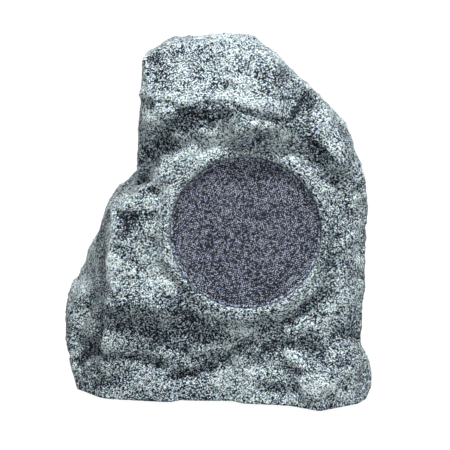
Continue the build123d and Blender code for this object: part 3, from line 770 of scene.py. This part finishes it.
    def true_well(self, piece: Piece) -> None:
        """Brings the points beside the grille back onto the recess's round wall and its flare."""
        points = read_points(piece)
        height, radius, spoke = self.well_place(points)
        front = points[:, 1] < 0.0
        grip = self.mesh_step * self.well_grip
        on_wall = (height > self.well_floor + self.floor_room) & (height < self.flare_start) & front
        on_wall &= np.abs(radius - self.well_radius) < grip
        flare = self.well_radius + height - self.flare_start
        on_flare = (height >= self.flare_start) & (height < self.flare_start + self.flare_height) & front
        on_flare &= np.abs(radius - flare) < grip
        target = np.where(on_wall, self.well_radius, np.where(on_flare, flare, radius))
        points += spoke * (target / np.maximum(radius, 1.0) - 1.0)[:, None]
        write_points(piece, points)

    def soften(self, piece: Piece) -> None:
        """Rounds the facets' edges as moulded resin does."""
        apply_modifier(piece, "SMOOTH", factor=self.soften_share, iterations=self.soften_rounds,
                       vertex_group="free")

    def chisel(self, piece: Piece) -> None:
        """Cuts the strokes into the front."""
        points, normals = read_points(piece), read_points(piece, "normal")
        facing = blend_in(-normals[:, 1], 0.0, self.face_slope) * self.free
        lift = np.zeros(len(points))
        x, z = points[:, 0] / MM, points[:, 2] / MM
        for stroke in self.strokes:
            lift += stroke.lift(x, z)
        log.info("strokes cut: %s", ", ".join(stroke.name for stroke in self.strokes))
        self.carved = lift * facing
        write_points(piece, points + normals * (self.carved * MM)[:, None])

    def weather(self, piece: Piece) -> None:
        """Breaks up the surface at every scale, from swellings down to pits."""
        smooth = read_points(piece)
        self.smooth_normals = read_points(piece, "normal")
        for layer in self.weathering:
            texture = bpy.data.textures.new(layer.name, layer.pattern)
            texture.noise_scale = layer.size * MM
            for name, value in layer.settings.items():
                setattr(texture, name, value)
            apply_modifier(piece, "DISPLACE", texture=texture, texture_coords="LOCAL", direction="NORMAL",
                           strength=layer.height * MM, mid_level=layer.middle, vertex_group="free")
        moved = ((read_points(piece) - smooth) * read_points(piece, "normal")).sum(axis=1) / MM
        self.height = moved + self.carved

    def carry_inside(self, piece: Piece) -> None:
        """Moves the inner wall with the outer one, so that the moulding keeps its thickness."""
        points = read_points(piece)
        outer = np.nonzero(self.outside)[0]
        tree = KDTree(len(outer))
        for place, index in enumerate(outer):
            tree.insert(self.start[index], place)
        tree.balance()
        shift = points - self.start
        inward = (shift[outer] * self.start_normals[outer]).sum(axis=1)
        push = np.minimum(inward + self.carry_slack * MM, 0.0)[:, None] * self.start_normals[outer]
        for index in np.nonzero(~self.outside)[0]:
            _, nearest, distance = tree.find(self.start[index])
            if distance < self.carry_reach * MM:
                points[index] += push[nearest]
        write_points(piece, points)

    def hold_in_box(self, piece: Piece) -> None:
        """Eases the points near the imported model's box back inside it."""
        points = read_points(piece)
        margin = self.box_margin * MM
        for axis in range(3):
            for sign, limit in ((-1, cad_box[0][axis]), (1, cad_box[1][axis])):
                if axis == 2 and sign < 0:
                    continue
                over = sign * points[:, axis] - (sign * limit - margin)
                eased = margin * np.tanh(np.maximum(over, 0.0) / margin)
                points[:, axis] = np.where(over > 0, sign * (sign * limit - margin + eased), points[:, axis])
        write_points(piece, points)

    def paint_shade_and_bare(self, piece: Piece) -> None:
        """Writes the painted shade and light, darker in hollows and on faces turned down and lighter on ridges
        and faces turned up, and where the resin is bare.
        """
        painted_shading = piece.data.attributes.new("painted_shading", "FLOAT", "POINT")
        # painted shade and light: hollows and faces turned down are painted darker, ridges and faces turned up
        # are painted lighter
        fleck = self.height / self.painted_shade_height
        fleck += self.painted_top_light * (self.smooth_normals[:, 2] - self.painted_top_light_level)
        painted_shading.data.foreach_set("value", np.clip(fleck, -1.0, 1.0) * self.outside)
        bare = piece.data.attributes.new("bare", "FLOAT", "POINT")
        bare.data.foreach_set("value", self.unsprayed.astype(float))

    def thin_inside(self, piece: Piece) -> None:
        """Takes spare triangles out of what isn't seen."""
        hidden = piece.vertex_groups.new(name="hidden")
        hidden.add(np.nonzero(~self.outside)[0].tolist(), 1.0, "REPLACE")
        triangles = sum(len(face.vertices) - 2 for face in piece.data.polygons)
        log.info("shell triangles before thinning: %d", triangles)
        if triangles > self.triangle_limit:
            apply_modifier(piece, "DECIMATE", ratio=self.triangle_limit / triangles, vertex_group="hidden",
                           vertex_group_factor=self.hidden_pull, use_collapse_triangulate=True)

    def finish(self, piece: Piece) -> None:
        """Smooths the shading and names what the shell stands for."""
        make_active(piece)
        bpy.ops.object.shade_smooth()
        dress(piece, GraniteSpray().build())
        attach(piece, CABINET)
        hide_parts(self.node)


@dataclass
class Grille:
    """The perforated steel disc: a lattice of round holes in a rolled rim with a skirt."""

    name: str = "speckled_grille"
    node: str = "grille"
    radius: float = 84.0
    front: float = 16.0
    skirt: float = 8.0
    sheet: float = 0.9
    pitch: float = 2.54
    hole_radius: float = 0.98
    lattice_turn: float = 15.0
    rim_width: float = 2.6
    rim_stand: float = 0.35
    rim_sides: int = 160
    skirt_wall: float = 1.2
    weld: float = 0.02
    rim_weld: float = 0.01
    smooth_angle: float = 35.0

    def build(self) -> Piece:
        """Makes the grille.

        Returns:
            The finished grille.
        """
        lattice = self.perforate()
        rim = self.roll_rim()
        make_active(lattice)
        rim.select_set(True)
        bpy.ops.object.join()
        lattice.matrix_world = self.seat()
        bpy.ops.object.transform_apply(location=True, rotation=True, scale=True)
        bpy.ops.object.shade_smooth_by_angle(angle=math.radians(self.smooth_angle))
        lattice.name = self.name
        dress(lattice, SpeckledEnamel().build())
        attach(lattice, CABINET)
        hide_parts(self.node)
        log.info("grille: %d faces", len(lattice.data.polygons))
        return lattice

    def seat(self) -> Matrix:
        """Gives the place of the grille's front face, with its local Z outwards."""
        up = Vector((0.0, math.sin(DRIVER_LEAN), math.cos(DRIVER_LEAN)))
        across = up.cross(DRIVER_FACING)
        turned = Matrix((across, up, DRIVER_FACING)).transposed().to_4x4()
        turned.translation = DRIVER_PLACE + DRIVER_FACING * self.front * MM
        return turned

    def perforate(self) -> Piece:
        """Repeats one six sided cell with its hole over the whole disc."""
        deselect_all()
        cell_radius = self.pitch / math.sqrt(3.0) * MM
        bpy.ops.mesh.primitive_circle_add(vertices=6, radius=cell_radius, fill_type="NGON")
        lattice = bpy.context.object
        bpy.ops.object.mode_set(mode="EDIT")
        bpy.ops.mesh.select_mode(type="FACE")
        bpy.ops.mesh.select_all(action="SELECT")
        bpy.ops.mesh.inset(thickness=cell_radius * HEX_FLAT - self.hole_radius * HEX_FLAT * MM)
        bpy.ops.mesh.delete(type="FACE")
        bpy.ops.mesh.select_all(action="SELECT")
        bpy.ops.mesh.duplicate()
        row = self.pitch * HEX_FLAT * MM
        bpy.ops.transform.translate(value=(row, self.pitch / 2 * MM, 0.0))
        close_edit()
        rows = int(self.radius / (row / MM)) + 2
        columns = int(2 * self.radius / self.pitch) + 2
        apply_modifier(lattice, "ARRAY", count=rows, use_relative_offset=False, use_constant_offset=True,
                       constant_offset_displace=(2 * row, 0.0, 0.0))
        apply_modifier(lattice, "ARRAY", count=columns, use_relative_offset=False, use_constant_offset=True,
                       constant_offset_displace=(0.0, self.pitch * MM, 0.0))
        edit_all()
        bpy.ops.mesh.remove_doubles(threshold=self.weld * MM)
        bpy.ops.transform.translate(value=(-row * rows, -self.pitch / 2 * columns * MM, 0.0))
        bpy.ops.mesh.select_all(action="DESELECT")
        close_edit()
        limit = (self.radius - self.rim_width / 2) * MM
        for face in lattice.data.polygons:
            face.select = math.hypot(face.center.x, face.center.y) > limit
        bpy.ops.object.mode_set(mode="EDIT")
        bpy.ops.mesh.delete(type="FACE")
        close_edit()
        lattice.rotation_euler.z = math.radians(self.lattice_turn)
        bpy.ops.object.transform_apply(location=True, rotation=True, scale=True)
        self.face_out(lattice)
        apply_modifier(lattice, "SOLIDIFY", thickness=self.sheet * MM, offset=-1.0)
        return lattice

    def face_out(self, piece: Piece) -> None:
        """Turns a flat sheet's faces to its front."""
        make_active(piece)
        edit_all()
        bpy.ops.mesh.normals_make_consistent(inside=False)
        close_edit()
        if piece.data.polygons[0].normal.z < 0:
            bpy.ops.object.mode_set(mode="EDIT")
            bpy.ops.mesh.flip_normals()
            close_edit()

    def roll_rim(self) -> Piece:
        """Spins the rolled edge and its skirt round the disc."""
        inner, outer = self.radius - self.rim_width, self.radius
        stand, back, lap = self.rim_stand, -self.skirt, -self.sheet - 0.3
        # the section's corners as (radius, height), from the lattice over the roll to the skirt
        section = [(inner, lap), (inner, stand * 0.4), (inner + 0.5, stand), (outer - 1.2, stand),
                   (outer - 0.4, stand - 0.5), (outer, -1.3), (outer, back), (outer - self.skirt_wall, back),
                   (outer - self.skirt_wall, lap)]
        deselect_all()
        bpy.ops.mesh.primitive_circle_add(vertices=len(section), radius=self.rim_width * MM,
                                          fill_type="NOTHING")
        rim = bpy.context.object
        for vertex, (reach, height) in zip(rim.data.vertices, section):
            vertex.co = (reach * MM, 0.0, height * MM)
        edit_all()
        bpy.ops.mesh.spin(steps=self.rim_sides, angle=math.tau, center=(0, 0, 0), axis=(0, 0, 1))
        bpy.ops.mesh.select_all(action="SELECT")
        bpy.ops.mesh.remove_doubles(threshold=self.rim_weld * MM)
        bpy.ops.mesh.normals_make_consistent(inside=False)
        close_edit()
        return rim


@dataclass
class CarriedParts:
    """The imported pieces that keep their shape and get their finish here."""

    name: str
    nodes: dict[str, Finish]

    def dress(self) -> None:
        """Gives every node its finish, each made once."""
        for node, finish in self.nodes.items():
            if finish.name not in MATERIALS:
                MATERIALS[finish.name] = finish.build()
            dress(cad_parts[node], MATERIALS[finish.name])
        log.info("%s: %d pieces dressed", self.name, len(self.nodes))


MATERIALS: dict[str, Material] = {}

BLACK_PLASTIC = Finish("glass_filled_nylon", "0d0e0f", "1b1d1e", 0.8, 0.5)
RUBBER = Finish("moulded_rubber", "101112", "1d1e1f", 0.5, 0.85, grain_height=0.08)
ZINC = Finish("bright_zinc_plate", "9a9c98", "c7c8c2", 0.6, 0.35, metallic=1.0, grain_height=0.02)
BLACK_STEEL = Finish("black_electrocoat", "0c0c0d", "1a1b1c", 0.4, 0.45)
FOAM = Finish("closed_cell_foam", "141414", "242424", 0.7, 0.95, grain_height=0.2)
PHENOLIC = Finish("phenolic_paper", "4a2a14", "6d4222", 1.2, 0.6)
CONE = Finish("mica_filled_polypropylene", "0b0b0c", "1b1c1e", 1.5, 0.4)
SPIDER = Finish("resin_dipped_cotton", "9c7a34", "c8a45a", 0.5, 0.9, grain_height=0.15)
FERRITE = Finish("ground_ferrite", "1c1c1e", "303033", 0.9, 0.6)
NICKEL = Finish("nickel_plate", "a8a59c", "cfccc2", 0.7, 0.3, metallic=1.0, grain_height=0.02)
COPPER = Finish("enamelled_copper_wire", "8f4a1d", "c87a3c", 0.7, 0.35, metallic=0.8, stretch=(0.1, 0.1, 1.0))
FOIL = Finish("aluminium_foil", "a9acae", "d3d6d8", 0.5, 0.3, metallic=1.0)
SILK = Finish("coated_silk", "101012", "232326", 0.35, 0.6)
BOARD = Finish("solder_mask", "0e3a22", "17512f", 1.2, 0.4)
CEMENT = Finish("cast_ceramic", "cdc9bc", "e8e5da", 0.8, 0.85)
GREEN_PLASTIC = Finish("green_polyamide", "1c6a3c", "2a8450", 0.7, 0.45)
FILM = Finish("capacitor_sleeve", "17245c", "24357e", 1.0, 0.35)
WADDING = Finish("polyester_wadding", "c9cac6", "f1f1ee", 1.6, 0.95, grain_height=0.6)


@dataclass
class Studio:
    """A pale floor, a plain soft key from above on the right, and the camera at the photograph's angle."""

    floor_size: float = 50.0
    floor_colour: str = "b4b4b4"
    aim: Vector = field(default_factory=lambda: Vector((13.0, 0.0, 184.5)) * MM)
    distance: float = 1600.0
    elevation: float = 11.0
    lens: float = 108.0
    sensor: float = 36.0
    sky: float = 0.42
    key_power: float = 42.0
    key_place: Vector = field(default_factory=lambda: Vector((0.3, -0.72, 2.2)))
    key_size: float = 0.5
    floor_glow: float = 0.72
    floor_strength: float = 1.36

    def build(self) -> None:
        """Sets the floor, the light and the camera."""
        self.lay_floor()
        self.light_world()
        self.hang_key()
        self.set_camera()
        bpy.context.scene.view_settings.view_transform = "Standard"

    def seen_ray(self, tree: Tree) -> Socket:
        """Gives 1 for a ray that shows the background directly, in a gloss or through glass."""
        path = add_node(tree, "LightPath")
        seen = path.outputs["Is Camera Ray"]
        for kind in ("Is Glossy Ray", "Is Transmission Ray"):
            seen = add_node(tree, "Math", {"operation": "MAXIMUM"}, i0=seen, i1=path.outputs[kind]).outputs[0]
        return seen

    def lay_floor(self) -> None:
        """Lays a matt white floor that keeps a faint shadow."""
        deselect_all()
        bpy.ops.mesh.primitive_plane_add(size=self.floor_size, location=(0, 0, 0))
        floor = bpy.context.object
        floor.name = "studio_floor"
        material, tree, shader = new_material("matt_white_floor")
        shader.inputs["Base Color"].default_value = linear(self.floor_colour)
        shader.inputs["Roughness"].default_value = 1.0
        shader.inputs["Specular IOR Level"].default_value = 0.0
        glow = add_node(tree, "Emission", Color=WHITE, Strength=self.floor_strength)
        share = add_node(tree, "Math", {"operation": "MULTIPLY"}, i0=self.seen_ray(tree), i1=self.floor_glow)
        mixed = add_node(tree, "MixShader", i0=share.outputs[0], i1=shader.outputs[0], i2=glow.outputs[0])
        output = next(node for node in tree.nodes if node.type == "OUTPUT_MATERIAL")
        tree.links.new(mixed.outputs[0], output.inputs["Surface"])
        dress(floor, material)

    def light_world(self) -> None:
        """Makes a white surround that fills the shadows softly."""
        world = bpy.data.worlds.new("white_surround")
        bpy.context.scene.world = world
        world.use_nodes = True
        tree = world.node_tree
        tree.nodes.clear()
        strength = add_node(tree, "Mix", {"data_type": "FLOAT"}, Factor=self.seen_ray(tree),
                            A=self.sky, B=1.0).outputs["Result"]
        background = add_node(tree, "Background", Color=WHITE, Strength=strength)
        output = add_node(tree, "OutputWorld")
        tree.links.new(background.outputs[0], output.inputs["Surface"])

    def hang_key(self) -> None:
        """Hangs one soft square lamp in front, above and to the right."""
        lamp = bpy.data.lights.new("key_lamp", "AREA")
        lamp.energy = self.key_power
        lamp.size = self.key_size
        key = bpy.data.objects.new("key_lamp", lamp)
        key.location = self.key_place
        key.rotation_euler = (self.aim - self.key_place).to_track_quat("-Z", "Y").to_euler()
        bpy.context.scene.collection.objects.link(key)

    def set_camera(self) -> None:
        """Places the camera and makes it the scene's own."""
        camera = bpy.data.objects.new("camera", bpy.data.cameras.new("camera"))
        camera.data.lens = self.lens
        camera.data.sensor_width = self.sensor
        rise = math.radians(self.elevation)
        offset = Vector((0.0, -math.cos(rise), math.sin(rise))) * self.distance * MM
        camera.location = self.aim + offset
        camera.rotation_euler = (math.pi / 2 - rise, 0.0, 0.0)
        bpy.context.scene.collection.objects.link(camera)
        bpy.context.scene.camera = camera


def main() -> None:
    """Builds the speaker's looks in order."""
    logging.basicConfig(level=logging.INFO, format="%(name)s %(message)s")
    Studio().build()
    for part in (RockShell(), Grille()):
        log.info("%s built", part.build().name)
    CarriedParts("driver", {
        "driver_gasket": FOAM, "driver_basket": BLACK_STEEL, "driver_terminals": PHENOLIC,
        "driver_screws": ZINC, "surround": RUBBER, "cone": CONE, "coil_former": FOIL,
        "coil_winding": COPPER, "spider": SPIDER, "top_plate": ZINC, "magnet": FERRITE,
        "back_plate": ZINC, "tweeter_post": ZINC, "tweeter_cup": BLACK_PLASTIC,
        "tweeter_magnet": NICKEL, "tweeter_dome": SILK, "tweeter_guard": BLACK_PLASTIC}).dress()
    CarriedParts("base", {
        "base_gasket": FOAM, "base_plate": BLACK_PLASTIC, "base_screws": ZINC, "foot_screws": ZINC,
        "foot_1": RUBBER, "foot_2": RUBBER, "foot_3": RUBBER, "foot_4": RUBBER}).dress()
    CarriedParts("crossover", {
        "crossover_board": BOARD, "board_screws": ZINC, "inductor_bobbin": BLACK_PLASTIC,
        "inductor_winding": COPPER, "capacitor_1": FILM, "capacitor_2": FILM, "resistor": CEMENT,
        "terminal_block": GREEN_PLASTIC, "wadding": WADDING}).dress()
    CarriedParts("gland", {
        "gland_washer": RUBBER, "gland_body": BLACK_PLASTIC, "gland_locknut": BLACK_PLASTIC,
        "gland_seal": RUBBER, "gland_cap": BLACK_PLASTIC}).dress()


if __name__ == "__main__":
    main()
